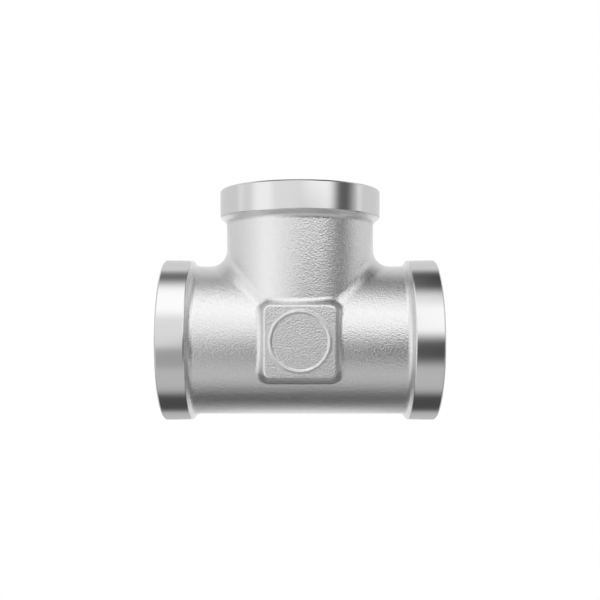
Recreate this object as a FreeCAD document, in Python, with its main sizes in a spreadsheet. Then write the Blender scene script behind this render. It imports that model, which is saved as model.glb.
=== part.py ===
import FreeCAD, Part
import os

import Sketcher

# A cast pipe tee with three female pipe threads, made as one solid. The run lies along X and the branch
# points along +Y. The origin is where the two pipe axes cross, and +Z comes out of the square boss. Lengths
# are in millimetres, and slopes and draft are in degrees.

SIZES = {
    # the parallel pipe thread of nominal size 1, which all three sockets take
    "thread_major": 33.249,
    "thread_pitch": 2.309,
    # what stands outside the thread: the body's wall, then the turned band, with the shoulder that slopes up
    # to it from the body
    "body_wall": 1.8755,
    "band_rise": 1.5,
    "band_width": 6.8,
    "shoulder_slope": 55.0,
    # the plain length of each arm, between the side of the other arm and its own shoulder
    "run_neck": 7.16,
    "branch_neck": 10.8,
    # the ledge that stops a pipe, and what is left between it and the waterway that crosses behind it
    "stop_ledge": 1.646,
    "stop_width": 3.0,
    "mouth_clearance": 0.375,
    # the turned bevel at each rim, and the round that the casting has where the branch leaves the run
    "rim_bevel_length": 0.35,
    "rim_bevel_height": 0.35,
    "junction_round": 4.0,
    # how much thinner the branch and its waterway are than the run's, in radius, so that none just grazes
    "crown_ease": 0.1,
    "core_ease": 0.5,
    # the square boss, and the plain raised ring on it
    "boss_width": 16.9,
    "boss_rise": 1.5,
    "boss_draft": 16.0,
    "boss_corner": 1.5,
    "boss_foot_round": 1.35,
    "boss_edge_round": 0.6,
    "ring_margin": 1.1,
    "ring_width": 0.95,
    "ring_height": 0.3,
}

# The flanks of this thread meet at 55 degrees and its crests are rounded, which makes it this share of its
# pitch deep.
THREAD_DEPTH_SHARE = 0.640327

# A round takes up at most this share of the wall that it runs out on.
ROUND_SHARE = 0.95

# Sizes that follow from others, as text that both the features and the search for edges read.
MINOR_RADIUS = f"(sizes.thread_major / 2 - {THREAD_DEPTH_SHARE} * sizes.thread_pitch)"
MOUTH_RADIUS = "(sizes.thread_major / 2 + sizes.mouth_clearance)"
MOUTH_DEPTH = f"({MOUTH_RADIUS} - {MINOR_RADIUS})"
RUN_CORE = f"({MINOR_RADIUS} - sizes.stop_ledge)"
BRANCH_CORE = f"({RUN_CORE} - sizes.core_ease)"
RUN_RADIUS = "(sizes.thread_major / 2 + sizes.body_wall)"
BRANCH_RADIUS = f"({RUN_RADIUS} - sizes.crown_ease)"
BAND_RADIUS = f"({RUN_RADIUS} + sizes.band_rise)"
RUN_ROOT = f"({RUN_RADIUS} + sizes.run_neck)"
RUN_REACH = f"({RUN_ROOT} + sizes.band_rise / tan(sizes.shoulder_slope) + sizes.band_width)"
BRANCH_ROOT = f"({RUN_RADIUS} + sizes.branch_neck)"
BRANCH_RISE = "(sizes.band_rise + sizes.crown_ease)"
BRANCH_REACH = f"({BRANCH_ROOT} + {BRANCH_RISE} / tan(sizes.shoulder_slope) + sizes.band_width)"
SOCKET_DEPTH = f"({RUN_REACH} - {RUN_CORE} - sizes.stop_width)"
BOSS_FACE = f"({RUN_RADIUS} + sizes.boss_rise)"
BOSS_WALL = "(sizes.boss_rise / cos(sizes.boss_draft) / tan(45 - sizes.boss_draft / 2))"
BOSS_FOOT_ROUND = f"min(sizes.boss_foot_round; {ROUND_SHARE} * ({BOSS_WALL} - sizes.boss_edge_round))"

# An edge lies on a surface when each of this many points along it is this close to the surface.
SAMPLES = 9
NEAR = 0.01


def make_sheet(doc):
    """The driving sizes, one to a row: the name in the first column and the number in the second."""
    sheet = doc.addObject("Spreadsheet::Sheet", "sizes")
    for row, (name, value) in enumerate(SIZES.items(), start=1):
        sheet.set(f"A{row}", name)
        sheet.set(f"B{row}", str(value))
        sheet.setAlias(f"B{row}", name)
    doc.recompute()


def value_of(body, text):
    """The number that an expression on the sheet's sizes comes to."""
    return float(body.evalExpression(text))


def origin_plane(body, role):
    """One of the body's own planes, by its role."""
    return next(feature for feature in body.Origin.OriginFeatures if feature.Role == role)


def add_outline(body, name, role, corners):
    """A closed outline of straight sides on one of the body's planes.

    Each corner is a pair of expressions, its distances along the sketch's two axes.
    """
    sketch = body.newObject("Sketcher::SketchObject", name)
    sketch.AttachmentSupport = [(origin_plane(body, role), "")]
    sketch.MapMode = "FlatFace"
    distances = [[value_of(body, text) for text in corner] for corner in corners]
    points = [FreeCAD.Vector(across, up, 0) for across, up in distances]
    for start, end in zip(points, points[1:] + points[:1]):
        sketch.addGeometry(Part.LineSegment(start, end))
    for side, corner in enumerate(corners):
        sketch.addConstraint(Sketcher.Constraint("Coincident", (side - 1) % len(corners), 2, side, 1))
        for kind, text, distance in zip(("DistanceX", "DistanceY"), corner, distances[side]):
            index = sketch.addConstraint(Sketcher.Constraint(kind, -1, 1, side, 1, distance))
            sketch.renameConstraint(index, f"corner{side}_{kind[-1]}")
            sketch.setExpression(f"Constraints.corner{side}_{kind[-1]}", text)
    return sketch


def turn_profile(body, kind, name, sketch, axis):
    """A revolution or a groove of a whole turn about one of the sketch's axes."""
    feature = body.newObject(kind, name)
    feature.Profile = sketch
    feature.ReferenceAxis = (sketch, [axis])
    feature.Angle = 360
    body.Document.recompute()
    return feature


def mirror_to_left(body, name, feature):
    """The feature again on the other side of the plane that holds the branch's axis and the boss's."""
    mirrored = body.newObject("PartDesign::Mirrored", name)
    mirrored.Originals = [feature]
    mirrored.MirrorPlane = (origin_plane(body, "YZ_Plane"), [""])
    body.Tip = mirrored
    body.Document.recompute()


def round_edges(body, name, radius, edges):
    """A fillet on these edges of the body's last feature."""
    last = body.Tip
    numbered = enumerate(last.Shape.Edges, start=1)
    names = [f"Edge{number}" for number, found in numbered if any(found.isSame(edge) for edge in edges)]
    fillet = body.newObject("PartDesign::Fillet", name)
    fillet.Base = (last, names)
    fillet.setExpression("Radius", radius)
    body.Document.recompute()


def arm_section(root, reach, radius):
    """Half the outside of one arm: its body, the shoulder from its root, the band, its bevel and its end."""
    return [
        ("0", "0"),
        ("0", radius),
        (root, radius),
        (f"{reach} - sizes.band_width", BAND_RADIUS),
        (f"{reach} - sizes.rim_bevel_length", BAND_RADIUS),
        (reach, f"{BAND_RADIUS} - sizes.rim_bevel_height"),
        (reach, "0"),
    ]


def bore_section(reach, core):
    """Half the hollow of one arm: the waterway, the ledge that stops the pipe, the socket and its mouth."""
    return [
        ("0", "0"),
        ("0", core),
        (f"{reach} - {SOCKET_DEPTH}", core),
        (f"{reach} - {SOCKET_DEPTH}", MINOR_RADIUS),
        (f"{reach} - {MOUTH_DEPTH}", MINOR_RADIUS),
        (reach, MOUTH_RADIUS),
        (reach, "0"),
    ]


def swapped(section):
    """The same half section turned to run along the sketch's second axis."""
    return [(out, along) for along, out in section]


def turn_run_and_branch(body, kind, name, run_section, branch_section):
    """The same kind of feature for the run's right arm, then its mirror image, and then for the branch."""
    sketch = add_outline(body, f"run_{name}_section", "XY_Plane", run_section)
    right = turn_profile(body, kind, f"right_{name}", sketch, "H_Axis")
    mirror_to_left(body, f"left_{name}", right)
    sketch = add_outline(body, f"branch_{name}_section", "XY_Plane", swapped(branch_section))
    turn_profile(body, kind, f"branch_{name}", sketch, "V_Axis")


def edges_on_both(body, run_radius, branch_radius):
    """The body's edges that lie on a cylinder round the run's axis and on one round the branch's."""

    def on_both(point):
        from_run = (point.y**2 + point.z**2) ** 0.5 - run_radius
        from_branch = (point.x**2 + point.z**2) ** 0.5 - branch_radius
        return abs(from_run) < NEAR and abs(from_branch) < NEAR

    return [edge for edge in body.Tip.Shape.Edges if all(map(on_both, edge.discretize(SAMPLES)))]


def add_arms(body):
    """The outside of the run and the branch, and the round where they meet."""
    run_section = arm_section(RUN_ROOT, RUN_REACH, RUN_RADIUS)
    branch_section = arm_section(BRANCH_ROOT, BRANCH_REACH, BRANCH_RADIUS)
    turn_run_and_branch(body, "PartDesign::Revolution", "arm", run_section, branch_section)
    meeting = edges_on_both(body, value_of(body, RUN_RADIUS), value_of(body, BRANCH_RADIUS))
    round_edges(body, "junction_rounds", "sizes.junction_round", meeting)


def make_boss(doc):
    """The square boss as a body of its own: a block from the run's axis up, wider at its foot."""
    body = doc.addObject("PartDesign::Body", "boss_block")
    half = "sizes.boss_width / 2"
    square = [(f"-{half}", f"-{half}"), (half, f"-{half}"), (half, half), (f"-{half}", half)]
    block = body.newObject("PartDesign::Pad", "block")
    block.Profile = add_outline(body, "boss_outline", "XY_Plane", square)
    block.setExpression("Length", BOSS_FACE)
    doc.recompute()
    top = value_of(body, BOSS_FACE)
    heights = {f"Face{number}": face.CenterOfMass.z for number, face in enumerate(block.Shape.Faces, start=1)}
    lid = next(name for name, height in heights.items() if abs(height - top) < NEAR)
    sides = [name for name, height in heights.items() if NEAR < height < top - NEAR]
    draft = body.newObject("PartDesign::Draft", "draft")
    draft.Base = (block, sides)
    draft.NeutralPlane = (block, [lid])
    draft.setExpression("Angle", "sizes.boss_draft")
    doc.recompute()
    corners = [edge for edge in draft.Shape.Edges if edge.BoundBox.ZLength > top - NEAR]
    round_edges(body, "corners", "sizes.boss_corner", corners)
    return body


def boss_edges(body, wanted):
    """The edges of the boss's side walls, which are the neighbours of its flat face, that are wanted.

    The test reads the heights of an edge's lowest and highest points above the boss's face.
    """
    top = value_of(body, BOSS_FACE)
    centre = FreeCAD.Vector(0, 0, top)
    shape = body.Tip.Shape
    lid = next(face for face in shape.Faces if face.CenterOfMass.isEqual(centre, NEAR))
    beside = [face for edge in lid.Edges for face in shape.ancestorsOfType(edge, Part.Face)]
    sides = [edge for wall in beside if not wall.isSame(lid) for edge in wall.Edges]
    return [edge for edge in sides if wanted(edge.BoundBox.ZMin - top, edge.BoundBox.ZMax - top)]


def add_boss(body, boss):
    """Joins the boss to the run, with a round at its foot and a finer one round its face."""
    joined = body.newObject("PartDesign::Boolean", "with_boss")
    joined.setObjects([boss])
    joined.Type = "Fuse"
    body.Document.recompute()
    round_edges(body, "boss_foot", BOSS_FOOT_ROUND, boss_edges(body, lambda low, high: high < -NEAR))
    round_edges(body, "boss_rim", "sizes.boss_edge_round", boss_edges(body, lambda low, high: low > -NEAR))


def add_ring(body):
    """A plain raised ring on the boss's face. Its sides slope at 45 degrees, and its foot is sunk in."""
    outside = "(sizes.boss_width / 2 - sizes.ring_margin)"
    inside = f"({outside} - sizes.ring_width)"
    foot = f"{BOSS_FACE} - sizes.ring_height"
    top = f"{BOSS_FACE} + sizes.ring_height"
    section = [
        (inside, foot),
        (inside, BOSS_FACE),
        (f"{inside} + sizes.ring_height", top),
        (f"{outside} - sizes.ring_height", top),
        (outside, BOSS_FACE),
        (outside, foot),
    ]
    sketch = add_outline(body, "ring_section", "XZ_Plane", section)
    turn_profile(body, "PartDesign::Revolution", "ring", sketch, "V_Axis")


def add_bores(body):
    """The hollow of the run and the branch."""
    run_section = bore_section(RUN_REACH, RUN_CORE)
    branch_section = bore_section(BRANCH_REACH, BRANCH_CORE)
    turn_run_and_branch(body, "PartDesign::Groove", "bore", run_section, branch_section)


def make_tee(doc):
    """The whole fitting as one body."""
    boss = make_boss(doc)
    body = doc.addObject("PartDesign::Body", "tee_body")
    body.Label = "tee_body"
    add_arms(body)
    add_boss(body, boss)
    add_ring(body)
    add_bores(body)
    return body


def check(doc, body):
    """Stops the build when an object failed, or when the body isn't one valid solid."""
    for item in doc.Objects:
        if "Invalid" in item.State or "Error" in item.State:
            raise RuntimeError(f"{item.Name} failed: {item.State}")
    if body.Shape.isNull() or not body.Shape.isValid() or len(body.Shape.Solids) != 1:
        raise RuntimeError(f"{body.Name} isn't one valid solid")


def main():
    os.makedirs("parts", exist_ok=True)
    doc = FreeCAD.newDocument("threaded_tee")
    make_sheet(doc)
    body = make_tee(doc)
    doc.recompute()
    check(doc, body)
    body.Shape.exportStep(f"parts/{body.Label}.step")
    print(f"{body.Label}: {body.Shape.Volume:.1f} mm3, {len(body.Shape.Faces)} faces")


main()
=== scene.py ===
# %% [markdown]
# # A threaded pipe tee
# The real object is a single investment casting in stainless steel. Afterwards a lathe has cut its three bands,
# their rims and the female threads, and the rest is left as it was cast and blasted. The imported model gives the
# solid with plain sockets. This script keeps the casting's own surfaces, makes the three turned and threaded
# ends with more detail, and joins everything into one closed mesh, because the real one is a single piece.

import math

import bmesh
import bpy
from mathutils import Matrix, Vector
from mathutils.bvhtree import BVHTree


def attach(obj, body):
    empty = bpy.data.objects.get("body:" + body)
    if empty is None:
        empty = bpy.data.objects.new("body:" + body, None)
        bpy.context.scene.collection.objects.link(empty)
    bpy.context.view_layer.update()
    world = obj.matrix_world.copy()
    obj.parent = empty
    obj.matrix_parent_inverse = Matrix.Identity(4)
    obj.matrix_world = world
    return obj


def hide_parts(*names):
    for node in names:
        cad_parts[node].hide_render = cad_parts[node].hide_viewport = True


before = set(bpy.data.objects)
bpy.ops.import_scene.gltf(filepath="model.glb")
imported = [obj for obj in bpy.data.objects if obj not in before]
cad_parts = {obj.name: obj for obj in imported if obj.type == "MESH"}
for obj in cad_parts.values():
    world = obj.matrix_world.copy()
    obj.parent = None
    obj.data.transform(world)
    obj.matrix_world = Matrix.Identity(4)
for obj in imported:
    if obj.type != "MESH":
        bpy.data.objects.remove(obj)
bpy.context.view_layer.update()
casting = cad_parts["tee_body"]
print("the casting has", len(casting.data.polygons), "loose triangles")

# %% [markdown]
# ## Sizes
# Blender works in metres, and a machinist in millimetres, so each size is written in millimetres and turned
# once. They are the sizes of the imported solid: an arm points along its own axis, and each distance along it is
# measured from the point where the pipe axes cross.

# %% Sizes of the solid
MM = 0.001
PITCH = 2.309 * MM
THREAD_DEPTH = 0.640327 * PITCH
MAJOR = 33.249 / 2 * MM
MINOR = MAJOR - THREAD_DEPTH
MOUTH_CLEARANCE = 0.375 * MM
MOUTH = MAJOR + MOUTH_CLEARANCE
RUN_BODY = 18.5 * MM
BRANCH_BODY = 18.4 * MM
BAND = 20.0 * MM
BAND_WIDTH = 6.8 * MM
SLOPE = math.radians(55)
RUN_ROOT = 25.66 * MM
BRANCH_ROOT = 29.3 * MM
LEDGE_DEPTH = 17.0103 * MM
RIM_BEVEL = 0.35 * MM
BOSS_FACE = 20.0 * MM
RING = (6.4 * MM, 7.35 * MM)
RING_HEIGHT = 0.3 * MM


def arm(name, direction, body, root):
    """One arm: which way it points, and how far from the crossing its parts are."""
    crest = root + (BAND - body) / math.tan(SLOPE)
    reach = crest + BAND_WIDTH
    ledge = reach - LEDGE_DEPTH
    return dict(name=name, way=Vector(direction), body=body, root=root, crest=crest, reach=reach, ledge=ledge)


ARMS = [
    arm("right", (1, 0, 0), RUN_BODY, RUN_ROOT),
    arm("left", (-1, 0, 0), RUN_BODY, RUN_ROOT),
    arm("branch", (0, 1, 0), BRANCH_BODY, BRANCH_ROOT),
]
for one in ARMS:
    print(one["name"], "reaches", round(one["reach"] / MM, 2), "mm, with its ledge at", round(one["ledge"] / MM, 2))

# %% [markdown]
# ## The casting without its ends
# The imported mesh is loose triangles, so a copy is welded first. The bands, rims and plain sockets are taken off
# that copy, from the socket's floor and from the root of the shoulder outwards. The outside is then cut a little
# below the root, where a round will start.

# %% Measuring along and around an arm
NEAR = 0.02 * MM
WELD = 0.001 * MM
ON_PLANE = 0.0001 * MM


def along(one, point):
    return point.dot(one["way"])


def around(one, point):
    return (point - one["way"] * along(one, point)).length


def in_end(one, point):
    """Whether a point is on the part of the arm that is made again."""
    out, radius = along(one, point), around(one, point)
    outside = out > one["root"] - NEAR and radius > one["body"] - NEAR
    socket = out > one["ledge"] - NEAR and MINOR - NEAR < radius < MOUTH + NEAR
    return outside or socket


# %% Taking the ends off a welded copy
ROOT_ROUND = 1.5 * MM
ROOT_SETBACK = ROOT_ROUND * math.tan(SLOPE / 2)
JOIN_GAP = 0.15 * MM

tee = bmesh.new()
tee.from_mesh(casting.data)
bmesh.ops.remove_doubles(tee, verts=tee.verts, dist=WELD)
for one in ARMS:
    gone = [face for face in tee.faces if all(in_end(one, vert.co) for vert in face.verts)]
    bmesh.ops.delete(tee, geom=gone, context="FACES")
    cut = one["way"] * (one["root"] - ROOT_SETBACK - JOIN_GAP)
    everything = tee.verts[:] + tee.edges[:] + tee.faces[:]
    bmesh.ops.bisect_plane(
        tee, geom=everything, dist=ON_PLANE, plane_co=cut, plane_no=one["way"], clear_outer=True
    )
print("the open casting has", len(tee.faces), "faces and", sum(e.is_boundary for e in tee.edges), "open edges")

# %% [markdown]
# ## A softer foot for the boss
# A square boss leaves the mould easily when it rises from the pipe with a wide hollow round. Where it is only a
# little higher than the pipe, the round at its foot runs straight into the round of its edge, with no flat wall
# between, and a fillet tool refuses that. So the skin round the boss is made another way. Each solid tells how
# far a point is from it and which way its skin faces there, and two such answers are blended as if a ball rolled
# between the solids. The skin is where the blended distance is nothing.
#
# A corner of the boss is no plain quarter circle either, for which the power would be 2. A little more lets it
# start gently, so the reflections don't break there.

# %% Distances that blend
BOSS_HALF = 8.45 * MM
BOSS_CORNER = 2.0 * MM
CORNER_POWER = 2.6
DRAFT = math.radians(16)
EDGE_ROUND = 0.6 * MM
FOOT_ROUND = 1.7 * MM
JUNCTION_ROUND = 4.0 * MM
LOWEST_SKIN = 11 * MM
HEIGHT_HALVINGS = 17


def blended(first, second, radius, sign=1):
    """Blends two skins, each a distance and a direction: hollow with sign 1, and a rounded edge with -1."""
    (a, facing_a), (b, facing_b) = first, second
    turn = facing_a.angle(facing_b, 0)
    size = radius * math.tan(turn / 2) * math.sin(turn)
    from_a, from_b = size - sign * a, size - sign * b
    if min(from_a, from_b) <= 0:
        return first if from_a > from_b else second
    facing = facing_a * from_a + facing_b * from_b
    return sign * (size - math.hypot(from_a, from_b)), facing.normalized()


def outside_boss(x, y):
    """How far a point is outside the boss's rounded square, seen from above, and which way is out."""
    out = Vector((abs(x), abs(y))) - Vector((1, 1)) * (BOSS_HALF - BOSS_CORNER)
    beyond = Vector((max(out.x, 0), max(out.y, 0)))
    reach = (beyond.x**CORNER_POWER + beyond.y**CORNER_POWER) ** (1 / CORNER_POWER)
    way = Vector((out.x > out.y, out.x <= out.y))
    if reach > 0:
        way = Vector((beyond.x ** (CORNER_POWER - 1), beyond.y ** (CORNER_POWER - 1))).normalized()
    facing = Vector((math.copysign(way.x, x), math.copysign(way.y, y), 0))
    return reach + min(max(out), 0) - BOSS_CORNER, facing


def from_boss(point):
    """How far a point is outside the boss, whose walls lean in by the draft, and which way is out."""
    out, facing = outside_boss(point.x, point.y)
    up = Vector((0, 0, 1))
    above = point.z - BOSS_FACE
    wall = (out + above * math.tan(DRAFT)) * math.cos(DRAFT)
    return blended((above, up), (wall, facing * math.cos(DRAFT) + up * math.sin(DRAFT)), EDGE_ROUND, -1)


def from_pipes(point):
    """How far a point is outside the run and the branch, with the round between them, and which way is out."""
    spoke = point * Vector((0, 1, 1))
    run = (spoke.length - RUN_BODY, spoke.normalized())
    if point.y <= 0:
        return run
    spoke = point * Vector((1, 0, 1))
    return blended(run, (spoke.length - BRANCH_BODY, spoke.normalized()), JUNCTION_ROUND)


def skin_height(x, y):
    """The height of the skin at a place near the boss, found by halving a span that holds it."""
    low, high = LOWEST_SKIN, BOSS_FACE
    for _ in range(HEIGHT_HALVINGS):
        point = Vector((x, y, (low + high) / 2))
        inside = blended(from_boss(point), from_pipes(point), FOOT_ROUND)[0] < 0
        low, high = (point.z, high) if inside else (low, point.z)
    return high


for x, y in ((0, -11), (-11, 0), (0, 11), (-9.2, 0), (-8.45, 0), (0, 0)):
    print("skin at", (x, y), "mm is", round(skin_height(x * MM, y * MM) / MM, 3), "mm high")

# %% [markdown]
# ## A new skin round the boss
# The old skin comes off inside a square window. The new one starts as the flat disc inside the raised ring, and
# its edge is extruded again and again: up, over and down the ring, then to the boss's outline, a little further
# out each time, and at last in a few steps to the window. The mould leaves no edge quite sharp, so the four
# circles of the ring get a small round.

# %% Rounding edges, and copying one mesh into another
def bevel(mesh, edges, setback, segments):
    """Rounds edges, from this far on each side of them."""
    bmesh.ops.bevel(
        mesh,
        geom=edges,
        offset=setback,
        offset_type="OFFSET",
        segments=segments,
        profile=0.5,
        affect="EDGES",
        material=-1,
    )


def add_to(mesh, other, turned):
    """Copies a bmesh into another, turned about the crossing of the axes."""
    bmesh.ops.transform(other, matrix=turned, verts=other.verts)
    carrier = bpy.data.meshes.new("carrier")
    other.to_mesh(carrier)
    other.free()
    mesh.from_mesh(carrier)
    bpy.data.meshes.remove(carrier)


# %% Taking the old skin off
WINDOW = 11.6 * MM
WINDOW_GAP = 0.15 * MM
UPPER_SIDE = 8 * MM
FACING_UP = 0.1


def is_upper(face):
    """Whether a face is on the upper side of the casting, where the boss is."""
    return face.normal.z > FACING_UP and face.calc_center_median().z > UPPER_SIDE


def square_reach(point):
    """How far a point is from the boss's middle, along whichever of X and Y it is further."""
    return max(abs(point.x), abs(point.y))


def in_window(face):
    return is_upper(face) and all(square_reach(vert.co) < WINDOW + NEAR / 10 for vert in face.verts)


old_skin = BVHTree.FromBMesh(tee)
tee.normal_update()
for side in (Vector((1, 0, 0)), Vector((-1, 0, 0)), Vector((0, 1, 0)), Vector((0, -1, 0))):
    upper = [face for face in tee.faces if is_upper(face)]
    cut_parts = list(dict.fromkeys(part for face in upper for part in (face, *face.edges, *face.verts)))
    bmesh.ops.bisect_plane(tee, geom=cut_parts, dist=ON_PLANE, plane_co=side * WINDOW, plane_no=side)
gone = [face for face in tee.faces if in_window(face)]
bmesh.ops.delete(tee, geom=gone, context="FACES")
print("took off", len(gone), "faces round the boss")

# %% Growing the new skin
AROUND_BOSS = 240
OUTLINE_HALVINGS = 24
ABOVE_ALL = 30 * MM
SETTLED = 0.015 * MM
circles = [
    (RING[0], BOSS_FACE),
    (RING[0] + RING_HEIGHT, BOSS_FACE + RING_HEIGHT),
    (RING[1] - RING_HEIGHT, BOSS_FACE + RING_HEIGHT),
    (RING[1], BOSS_FACE),
]
outs_in_mm = [-0.7 + 0.1 * step for step in range(33)]
shares_to_window = (0.25, 0.5, 0.75, 1)


def place_on_outline(way, out):
    """The place in this direction from the middle that lies this far outside the boss, found by halving."""
    low, high = 0, 3 * WINDOW
    for _ in range(OUTLINE_HALVINGS):
        middle = (low + high) / 2
        low, high = (middle, high) if outside_boss(*(way * middle))[0] < out else (low, middle)
    return way * high


def place_on_window(way):
    """The place in this direction from the middle where the new skin ends, just inside the window."""
    return way * (WINDOW - WINDOW_GAP) / square_reach(way)


def gap_at_window(place):
    """How much higher the casting is than the blended skin where the two meet."""
    hit = old_skin.ray_cast(Vector((*place, ABOVE_ALL)), Vector((0, 0, -1)))[0]
    gap = hit.z - skin_height(*place)
    return gap if abs(gap) > SETTLED else 0


def settled(place, way, gap):
    """A point of the skin. It takes up the gap over the last fifth of the way to the window."""
    reach = place.length / place_on_window(way).length
    return (*place, skin_height(*place) + gap * max(0, reach * 5 - 4))


def grow(mesh, edges, front, places):
    """Extrudes a mesh's outer edge to new places, and returns the new edges and points in the same order."""
    grown = bmesh.ops.extrude_edge_only(mesh, edges=edges)["geom"]
    edges = [part for part in grown if isinstance(part, bmesh.types.BMEdge) and part.is_boundary]
    fresh = {vert for edge in edges for vert in edge.verts}
    front = [
        next(edge.other_vert(vert) for edge in vert.link_edges if edge.other_vert(vert) in fresh) for vert in front
    ]
    for vert, place in zip(front, places):
        vert.co = place
    return edges, front


patch = bmesh.new()
bmesh.ops.create_circle(patch, cap_ends=True, segments=AROUND_BOSS, radius=RING[0])
bmesh.ops.translate(patch, verts=patch.verts, vec=(0, 0, BOSS_FACE))
ways = [vert.co.xy.normalized() for vert in patch.verts]
edges, front = patch.edges[:], patch.verts[:]
for radius, height in circles[1:]:
    edges, front = grow(patch, edges, front, [(*(way * radius), height) for way in ways])

window_places = [place_on_window(way) for way in ways]
gaps = [gap_at_window(place) for place in window_places]
outlines = [[place_on_outline(way, out * MM) for way in ways] for out in outs_in_mm]
last = outlines[-1]
for share in shares_to_window:
    outlines.append([a.lerp(b, share) for a, b in zip(last, window_places)])
for outline in outlines:
    places = [settled(place, way, gap) for place, way, gap in zip(outline, ways, gaps)]
    edges, front = grow(patch, edges, front, places)
print("the new skin meets the casting within", round(max(map(abs, gaps)) / MM, 3), "mm")

# %% Softening the ring's edges
RING_ROUND = 0.1 * MM


def on_circle(edge, radius, height):
    """Whether an edge runs along the circle of this radius at this height."""
    return all(abs(v.co.xy.length - radius) < NEAR and abs(v.co.z - height) < NEAR for v in edge.verts)


for radius, height in circles:
    sharp = [edge for edge in patch.edges if on_circle(edge, radius, height)]
    bevel(patch, sharp, RING_ROUND, 2)
    print("rounded", len(sharp), "edges of the ring at radius", round(radius / MM, 2), "mm")
print("the new skin has", len(patch.faces), "faces")
add_to(tee, patch, Matrix())

# %% Closing the new skin
def square_loop(half):
    """The open edges that lie along a square window of this half width."""
    return [
        edge
        for edge in tee.edges
        if edge.is_boundary
        and all(v.co.z > UPPER_SIDE and abs(square_reach(v.co) - half) < NEAR / 2 for v in edge.verts)
    ]


loops = [square_loop(WINDOW), square_loop(WINDOW - WINDOW_GAP)]
strip = bmesh.ops.bridge_loops(tee, edges=loops[0] + loops[1])["faces"]
stray = max(abs(square_reach(face.calc_center_median()) - WINDOW + WINDOW_GAP / 2) for face in strip)
print("bridged loops of", [len(loop) for loop in loops])
print("no face of the strip is further off the window than", round(stray / MM, 2), "mm")

# %% [markdown]
# ## The outside of a turned end
# Everything that a lathe makes has the same section all the way round, so half a section is drawn as a chain of
# edges and spun. The corners are rounded afterwards with bevels: a wide one where the cast shoulder leaves the
# body, and fine ones where the tool broke the edges of the band.

# %% Spinning the shoulder, the band and the end face
ROUND_STEPS = 96
CREST_SETBACK = 0.2 * MM
EDGE_SETBACK = 0.05 * MM


def ring_edges(mesh, out, radius):
    """The edges that run round the X axis at this distance and this radius."""
    flat = Vector((0, 1, 1))
    return [
        edge
        for edge in mesh.edges
        if all(abs(v.co.x - out) < NEAR and abs((v.co * flat).length - radius) < NEAR for v in edge.verts)
    ]


def spin_outside(one):
    """The turned outside of an end, pointing along X."""
    section = [
        (one["root"] - ROOT_SETBACK - EDGE_SETBACK, one["body"]),
        (one["root"], one["body"]),
        (one["crest"], BAND),
        (one["reach"] - RIM_BEVEL, BAND),
        (one["reach"], BAND - RIM_BEVEL),
        (one["reach"], MOUTH),
    ]
    end = bmesh.new()
    points = [end.verts.new((out, radius, 0)) for out, radius in section]
    chain = [end.edges.new(pair) for pair in zip(points, points[1:])]
    bmesh.ops.spin(
        end,
        geom=points + chain,
        cent=(0, 0, 0),
        axis=(1, 0, 0),
        angle=math.tau,
        steps=ROUND_STEPS,
        use_merge=True,
    )
    bmesh.ops.remove_doubles(end, verts=end.verts, dist=WELD)
    # each corner's number in the section, how far from it the round starts, and in how many flats it is made
    rounds = [(1, ROOT_SETBACK, 6), (2, CREST_SETBACK, 3), (3, EDGE_SETBACK, 2), (4, EDGE_SETBACK, 2)]
    for corner, setback, segments in rounds:
        edges = ring_edges(end, *section[corner])
        bevel(end, edges, setback, segments)
    return end


# %% [markdown]
# ## A cut thread
# The flanks of a pipe thread meet at 55 degrees, and both its crests and its roots are rounded, by a share of
# the pitch that the thread's standard sets. One pitch of that section is drawn as a chain of edges. Spun with a
# small step along the axis each time, it winds into a helix, and each turn ends where the next begins, so the
# turns weld. Two flat cuts then trim it to a tube. Near the socket's floor the tap has not cut to its full
# depth, and at the mouth a countersink takes the first turns away, so there the points are moved out or in to
# those surfaces.

# %% Winding and trimming the thread
THREAD_STEPS = 64
TIP_ROUND = 0.137329 * PITCH
TIP_TURN = math.radians(62.5)
TRIM = 0.3 * MM
RUN_OUT = 1.2 * PITCH
THREAD_WELD = 0.002 * MM


def half_pitch():
    """Points from the middle of a crest to the middle of a root, as distance and radius."""
    turns = [TIP_TURN * step / 3 for step in range(4)]
    crest = [(TIP_ROUND * math.sin(a), MINOR + TIP_ROUND * (1 - math.cos(a))) for a in turns]
    root = [(PITCH / 2 - TIP_ROUND * math.sin(a), MAJOR - TIP_ROUND * (1 - math.cos(a))) for a in reversed(turns)]
    low, high = Vector(crest[-1]), Vector(root[0])
    flank = [tuple(low.lerp(high, share)) for share in (0.25, 0.5, 0.75)]
    return crest + flank + root


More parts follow.
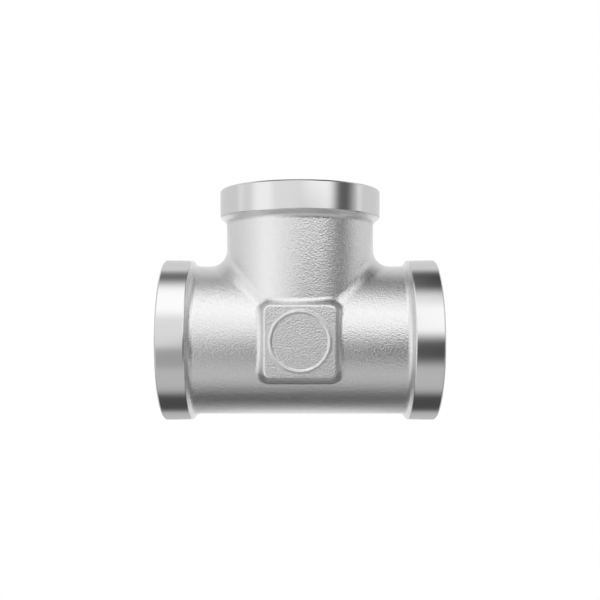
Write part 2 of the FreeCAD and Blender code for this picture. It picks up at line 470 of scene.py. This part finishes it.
def wind_thread(one):
    """The thread's wall as an open tube along X, from just above the ledge to just inside the mouth."""
    rising = half_pitch()
    falling = [(PITCH - out, radius) for out, radius in reversed(rising[:-1])]
    start = one["ledge"] - PITCH
    turns = math.ceil(LEDGE_DEPTH / PITCH) + 2
    wall = bmesh.new()
    points = [wall.verts.new((start + out, radius, 0)) for out, radius in rising + falling]
    chain = [wall.edges.new(pair) for pair in zip(points, points[1:])]
    bmesh.ops.spin(
        wall,
        geom=points + chain,
        cent=(0, 0, 0),
        axis=(1, 0, 0),
        dvec=(PITCH / THREAD_STEPS, 0, 0),
        angle=math.tau * turns,
        steps=THREAD_STEPS * turns,
        use_merge=False,
    )
    bmesh.ops.remove_doubles(wall, verts=wall.verts, dist=THREAD_WELD)
    for out, side in ((one["ledge"] + TRIM, -1), (one["reach"] - TRIM, 1)):
        everything = wall.verts[:] + wall.edges[:] + wall.faces[:]
        bmesh.ops.bisect_plane(
            wall, geom=everything, dist=ON_PLANE, plane_co=(out, 0, 0), plane_no=(side, 0, 0), clear_outer=True
        )
    for vert in wall.verts:
        radius = math.hypot(vert.co.y, vert.co.z)
        cut_share = (vert.co.x - one["ledge"] - 2 * TRIM) / RUN_OUT
        cut = MINOR + (radius - MINOR) * min(1, max(0, cut_share))
        countersink = MOUTH - (one["reach"] - vert.co.x)
        wanted = max(cut, countersink)
        vert.co.y *= wanted / radius
        vert.co.z *= wanted / radius
    return wall


# %% [markdown]
# ## Joining the ends to the casting
# An end made along X is turned to its arm's direction. It is never mirrored, because a mirrored thread would be
# left-handed. Each end then has open rings that face rings of the casting or of the end itself, and a strip of
# faces bridges each pair: outside at the root, at the mouth, and inside at the ledge.

# %% Placing and bridging the ends
LAST_WELD = 0.0005 * MM


def open_ring(one, out, radius):
    """The open edges of the tee that go round an arm at this distance and radius."""
    return [
        edge
        for edge in tee.edges
        if edge.is_boundary
        and all(abs(along(one, v.co) - out) < NEAR and abs(around(one, v.co) - radius) < NEAR for v in edge.verts)
    ]


for one in ARMS:
    turned = Vector((1, 0, 0)).rotation_difference(one["way"]).to_matrix().to_4x4()
    if one["name"] == "left":
        turned = Matrix.Rotation(math.pi, 4, "Z")
    add_to(tee, spin_outside(one), turned)
    add_to(tee, wind_thread(one), turned)
    start = one["root"] - ROOT_SETBACK
    pairs = [
        ((start - JOIN_GAP, one["body"]), (start - EDGE_SETBACK, one["body"])),
        ((one["reach"], MOUTH), (one["reach"] - TRIM, MOUTH - TRIM)),
        ((one["ledge"], MINOR), (one["ledge"] + TRIM, MINOR)),
    ]
    for pair in pairs:
        rings = [open_ring(one, *place) for place in pair]
        bmesh.ops.bridge_loops(tee, edges=rings[0] + rings[1])
        print(one["name"], "bridged rings of", [len(ring) for ring in rings])
bmesh.ops.remove_doubles(tee, verts=tee.verts, dist=LAST_WELD)
bmesh.ops.recalc_face_normals(tee, faces=tee.faces)
print("open edges left:", sum(not edge.is_manifold for edge in tee.edges))
print("the tee's volume is", round(tee.calc_volume() / MM**3), "mm3")

# %% [markdown]
# ## Colour and material helpers
# Colours are picked as hex values as a screen shows them, while shaders work in linear light, so one function
# converts them. Another adds a node, sets it and wires it up in a single call, which keeps each material short
# enough to read at a glance. A third makes a metal, because all the finishes here are the same shader with
# another colour, roughness and bump.

# %% Three helpers
def linear(hex_colour):
    """A screen colour such as 'dcdcdc' as linear red, green, blue and alpha, by the sRGB standard's numbers."""
    parts = [int(hex_colour[i : i + 2], 16) / 255 for i in (0, 2, 4)]
    return [part / 12.92 if part <= 0.04045 else ((part + 0.055) / 1.055) ** 2.4 for part in parts] + [1]


def add_node(tree, kind, inputs=None, **settings):
    """Adds a node. An input is a value, or the output of another node."""
    node = tree.nodes.new(kind)
    for name, value in settings.items():
        setattr(node, name, value)
    for name, value in (inputs or {}).items():
        if isinstance(value, bpy.types.NodeSocket):
            tree.links.new(value, node.inputs[name])
        else:
            node.inputs[name].default_value = value
    return node


def new_metal(name, hex_colour, roughness, height=None, relief=0.0):
    """A metal material, with a bump whose full depth is relief, from a function that adds its height."""
    material = bpy.data.materials.new(name)
    material.use_nodes = True
    tree = material.node_tree
    shader = tree.nodes["Principled BSDF"]
    shader.inputs["Base Color"].default_value = linear(hex_colour)
    shader.inputs["Metallic"].default_value = 1
    shader.inputs["Roughness"].default_value = roughness
    if height:
        bump = add_node(tree, "ShaderNodeBump", {"Strength": 1, "Distance": relief, "Height": height(tree)})
        tree.links.new(bump.outputs["Normal"], shader.inputs["Normal"])
    return material


# %% [markdown]
# ## Three finishes of one steel
# Investment casting copies the fine grain of a ceramic mould, and blasting with grit rounds it off. That gives
# a soft, wormy relief whose grains are one or two cells of the noise across, and it shows most where the light
# falls away. The turned bands reflect sharply, with hair lines round the axis. The cut thread lies between the
# two. Real tool lines are about 0.05 mm apart, and those here are drawn coarser, so that they show at all.

# %% Making the finishes
GRAIN = 0.37  # the size of a cell of the noise, in millimetres, as the photograph shows the grain
TOOL_LINE = 0.12  # the same for the tool lines, about twice as coarse as they are
IN_MM = 1000  # how many millimetres there are in a metre


def grain_height(tree):
    """The height of the blasted grain, from noise in three dimensions that follows the tee wherever it lies."""
    place = add_node(tree, "ShaderNodeTexCoord")
    in_mm = add_node(tree, "ShaderNodeMapping", {"Vector": place.outputs["Object"], "Scale": [IN_MM] * 3})
    noise = add_node(
        tree,
        "ShaderNodeTexNoise",
        {"Vector": in_mm.outputs["Vector"], "Scale": 1 / GRAIN, "Detail": 2, "Roughness": 0.5, "Distortion": 0.5},
    )
    return noise.outputs["Fac"]


def tool_lines_height(tree):
    """The height of the tool lines, from noise along the way that the tool has travelled."""
    depth = add_node(tree, "ShaderNodeAttribute", attribute_name="lathe_mm")
    noise = add_node(
        tree,
        "ShaderNodeTexNoise",
        {"W": depth.outputs["Fac"], "Scale": 1 / TOOL_LINE, "Detail": 2},
        noise_dimensions="1D",
    )
    return noise.outputs["Fac"]


# investment cast, then blasted with grit
cast_skin = new_metal("blasted_cast_stainless_steel", "e2e2e2", 0.28, grain_height, 0.1 * MM)
# turned on a lathe, and left as the tool leaves it
turned_band = new_metal("turned_stainless_steel", "dadada", 0.18, tool_lines_height, 0.0008 * MM)
# cut with a tap, which tears the steel a little
cut_thread = new_metal("cut_stainless_steel_thread", "d6d6d6", 0.26, tool_lines_height, 0.001 * MM)
print("finishes:", [material.name for material in (cast_skin, turned_band, cut_thread)])

# %% [markdown]
# ## Which face has which finish
# A face's place says which tool made it, if any. Everything from the crest of a band outwards, and the socket
# inside, is cut, and the rest is as cast. The tool lines need to know how far the tool has travelled, so that
# distance is stored with each point: along the arm on the band, and inwards on the end face.

# %% Assigning the finishes
CAST, TURNED, THREAD = range(3)


def finish_at(point):
    """Which tool, if any, made the surface at a point."""
    for one in ARMS:
        out, radius = along(one, point), around(one, point)
        if out > one["ledge"] - NEAR and radius < MOUTH - NEAR:
            return THREAD
        if out > one["crest"]:
            return TURNED
    return CAST


def tool_travel(point):
    """How far the tool had gone at a point, in millimetres."""
    one = max(ARMS, key=lambda each: along(each, point))
    return (along(one, point) - around(one, point)) / MM


travel = tee.verts.layers.float.new("lathe_mm")
for vert in tee.verts:
    vert[travel] = tool_travel(vert.co)
for face in tee.faces:
    face.material_index = finish_at(face.calc_center_median())
    face.smooth = True
print("faces by finish:", [sum(face.material_index == kind for face in tee.faces) for kind in range(3)])

# %% [markdown]
# ## Smooth shading that stays true
# A big face beside a fine round should shade as if it were alone, so each corner's normal is the average of
# the faces about it that turn by less than a set angle, weighted by their areas. On the two plain cylinders the
# true normal is known, and it is used as it is, so that reflections run straight along the pipe.

# %% Setting the normals
SHARP = math.cos(math.radians(35))
ON_CYLINDER = 0.004 * MM
ALIGNED = 0.995


def true_normal(vert, face):
    """The normal of the plain cylinder under a corner, or nothing elsewhere."""
    point = vert.co
    for axis, body in ((Vector((0, 1, 1)), RUN_BODY), (Vector((1, 0, 1)), BRANCH_BODY)):
        spoke = point * axis
        if abs(spoke.length - body) < ON_CYLINDER and face.normal.dot(spoke) > ALIGNED * spoke.length:
            return spoke.normalized()
    return None


def corner_normal(loop):
    """The normal of one corner of a face: the true one, or the average over the faces that turn only a little."""
    known = true_normal(loop.vert, loop.face)
    if known:
        return known
    total = Vector((0, 0, 0))
    for face in loop.vert.link_faces:
        if face.normal.dot(loop.face.normal) > SHARP:
            total += face.normal * face.calc_area()
    return total.normalized() if total.length > 0 else loop.face.normal


tee.normal_update()
normals = [corner_normal(loop) for face in tee.faces for loop in face.loops]
skin = bpy.data.meshes.new("tee")
tee.to_mesh(skin)
tee.free()
skin.normals_split_custom_set(normals)
for material in (cast_skin, turned_band, cut_thread):
    skin.materials.append(material)
tee_piece = bpy.data.objects.new("threaded_tee", skin)
bpy.context.scene.collection.objects.link(tee_piece)
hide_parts("tee_body")
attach(tee_piece, "root")
triangles = sum(len(polygon.vertices) - 2 for polygon in skin.polygons)
print("the finished tee has", triangles, "triangles")

# %% [markdown]
# ## The studio
# A photographer lights bright metal by what it mirrors. The tee lies on a small round sheet of white paper, in a
# tent of white cloth with lamps and cards hung in it. The tent is a sphere whose brightness depends on the
# direction, and the camera itself does not see it. What the camera sees is the paper and the white world behind
# it, and the two are as bright as each other: the paper glows for the camera and in mirrors, and is plain matt
# paper for all other light.

# %% Floor and background
FLOOR = -20.0 * MM
PAPER_RADIUS = 42 * MM

floor_mesh = bpy.data.meshes.new("floor")
floor_shape = bmesh.new()
bmesh.ops.create_circle(floor_shape, cap_ends=True, segments=96, radius=PAPER_RADIUS)
bmesh.ops.translate(floor_shape, verts=floor_shape.verts, vec=(0, 0, FLOOR))
floor_shape.to_mesh(floor_mesh)
floor_shape.free()
floor = bpy.data.objects.new("floor", floor_mesh)
bpy.context.scene.collection.objects.link(floor)

paper = bpy.data.materials.new("white_paper")
paper.use_nodes = True
paper_tree = paper.node_tree
paper_tree.nodes.clear()
matt = add_node(paper_tree, "ShaderNodeBsdfDiffuse", {"Color": linear("f4f4f4")})
faint = add_node(paper_tree, "ShaderNodeBsdfDiffuse", {"Color": linear("707070")})
glow = add_node(paper_tree, "ShaderNodeEmission", {"Strength": 0.92})
lit = add_node(paper_tree, "ShaderNodeAddShader", {0: faint.outputs[0], 1: glow.outputs[0]})
path = add_node(paper_tree, "ShaderNodeLightPath")
seen = path.outputs["Is Camera Ray"]
for kind in ("Is Glossy Ray", "Is Transmission Ray"):
    seen = add_node(paper_tree, "ShaderNodeMath", {0: seen, 1: path.outputs[kind]}, operation="MAXIMUM").outputs[0]
paper_mix = add_node(paper_tree, "ShaderNodeMixShader", {0: seen, 1: matt.outputs[0], 2: lit.outputs[0]})
add_node(paper_tree, "ShaderNodeOutputMaterial", {"Surface": paper_mix.outputs[0]})
floor_mesh.materials.append(paper)

world = bpy.data.worlds.new("white_room")
world.use_nodes = True
world.node_tree.nodes["Background"].inputs["Color"].default_value = (1, 1, 1, 1)
world.node_tree.nodes["Background"].inputs["Strength"].default_value = 1
bpy.context.scene.world = world
print("the paper is", PAPER_RADIUS * 2 / MM, "mm across and lies at", FLOOR / MM, "mm")

# %% The light tent
TENT_RADIUS = 1.0

tent_mesh = bpy.data.meshes.new("light_tent")
tent_shape = bmesh.new()
bmesh.ops.create_icosphere(tent_shape, subdivisions=4, radius=TENT_RADIUS)
bmesh.ops.reverse_faces(tent_shape, faces=tent_shape.faces)
tent_shape.to_mesh(tent_mesh)
tent_shape.free()
tent = bpy.data.objects.new("light_tent", tent_mesh)
bpy.context.scene.collection.objects.link(tent)
tent.visible_camera = False
print("the tent is", TENT_RADIUS * 2, "m across")

# %% [markdown]
# Bright and black cards hang on the tent's white cloth. A card's place is told by two angles in degrees: its
# lean, which is 0 straight up and grows towards the branch, and its side, which grows towards the right end of
# the run. Its edges are soft, as they are when a card hangs closer than the cloth. A later card covers an
# earlier one.

# %% What hangs in the tent
CLOTH = 0.97
# each card's name, its limits in lean and in side, the width of its soft edge, and its brightness
CARDS = [
    ("far half below the table", (124, 190), (-95, 95), 12, 0.8),
    ("near half below the table", (-190, -128), (-95, 95), 12, 0.62),
    ("left end of the cloth", (-70, 70), (-95, -68), 10, 0.85),
    ("right end of the cloth", (-70, 70), (77, 95), 10, 0.74),
    ("low grey cloth", (-72, -10), (-28, 90), 16, 0.63),
    ("grey card", (-38, -12), (-28, 4), 12, 0.47),
    ("left lamp", (-40, 32), (-66, -38), 14, 1.2),
    ("left half of the soft box", (36, 79), (-22, 4), 18, 1.4),
    ("right half of the soft box", (7, 52), (4, 60), 20, 1.38),
    ("far black card on the left", (89, 114), (-60, 2), 20, 0.17),
    ("far black card on the right", (72, 116), (2, 60), 22, 0.04),
    ("near black card", (-124, -75), (-70, 95), 26, 0.08),
    ("opening for the camera", (-16, 1), (-5, 5), 10, 0.22),
    ("right black card", (-31, 5), (1, 95), 20, 0.07),
    ("narrow black card", (-26, 70), (47, 76), 20, 0.12),
]


def between(tree, angle, limits, softness):
    """A mask that is 1 between two angles and falls off softly outside them."""
    masks = []
    for limit, inside in zip(limits, (1, -1)):
        ends = {"From Min": limit - softness / 2, "From Max": limit + softness / 2}
        ends.update({"To Min": (1 - inside) / 2, "To Max": (1 + inside) / 2})
        step = add_node(tree, "ShaderNodeMapRange", {"Value": angle, **ends}, interpolation_type="SMOOTHSTEP")
        masks.append(step.outputs[0])
    return add_node(tree, "ShaderNodeMath", {0: masks[0], 1: masks[1]}, operation="MULTIPLY").outputs[0]


cloth = bpy.data.materials.new("tent_cloth")
cloth.use_nodes = True
cloth_tree = cloth.node_tree
cloth_tree.nodes.clear()
where = add_node(cloth_tree, "ShaderNodeTexCoord")
way = add_node(cloth_tree, "ShaderNodeVectorMath", {0: where.outputs["Object"]}, operation="NORMALIZE")
parts = add_node(cloth_tree, "ShaderNodeSeparateXYZ", {"Vector": way.outputs[0]})
turn = add_node(cloth_tree, "ShaderNodeMath", {0: parts.outputs["Y"], 1: parts.outputs["Z"]}, operation="ARCTAN2")
lean = add_node(cloth_tree, "ShaderNodeMath", {0: turn.outputs[0]}, operation="DEGREES").outputs[0]
turn = add_node(cloth_tree, "ShaderNodeMath", {0: parts.outputs["X"]}, operation="ARCSINE")
side = add_node(cloth_tree, "ShaderNodeMath", {0: turn.outputs[0]}, operation="DEGREES").outputs[0]
brightness = CLOTH
for name, leans, sides, softness, card_brightness in CARDS:
    masks = [between(cloth_tree, lean, leans, softness), between(cloth_tree, side, sides, softness)]
    mask = add_node(cloth_tree, "ShaderNodeMath", {0: masks[0], 1: masks[1]}, operation="MULTIPLY").outputs[0]
    mix = add_node(cloth_tree, "ShaderNodeMix", {0: mask, 2: brightness, 3: card_brightness}, data_type="FLOAT")
    brightness = mix.outputs[0]
shine = add_node(cloth_tree, "ShaderNodeEmission", {"Strength": brightness})
add_node(cloth_tree, "ShaderNodeOutputMaterial", {"Surface": shine.outputs[0]})
tent_mesh.materials.append(cloth)
print("the tent has", len(CARDS), "cards:", ", ".join(card[0] for card in CARDS))

# %% [markdown]
# ## The camera
# The photographer stood square on to the fitting, so the camera looks straight down on it here, with the branch
# towards the top of the picture. A little lens shift moves the frame up without tilting the camera, as a view
# camera does, so the run's edges stay parallel.

# %% Camera and view
CAMERA_HEIGHT = 212 * MM
CAMERA_SIDE = 4.5 * MM
SENSOR_MM = 36
FRAME = 600  # the width of the picture in pixels, which the next two are also counted in
FOCAL = 840
SHIFT = 22

lens = bpy.data.cameras.new("camera")
lens.sensor_width = SENSOR_MM
lens.lens = SENSOR_MM * FOCAL / FRAME
lens.shift_y = SHIFT / FRAME
camera = bpy.data.objects.new("camera", lens)
camera.location = (0, CAMERA_SIDE, CAMERA_HEIGHT)
bpy.context.scene.collection.objects.link(camera)
bpy.context.scene.camera = camera
bpy.context.scene.view_settings.view_transform = "Standard"
print("lens", round(lens.lens, 1), "mm, looking straight down from", CAMERA_HEIGHT / MM, "mm")
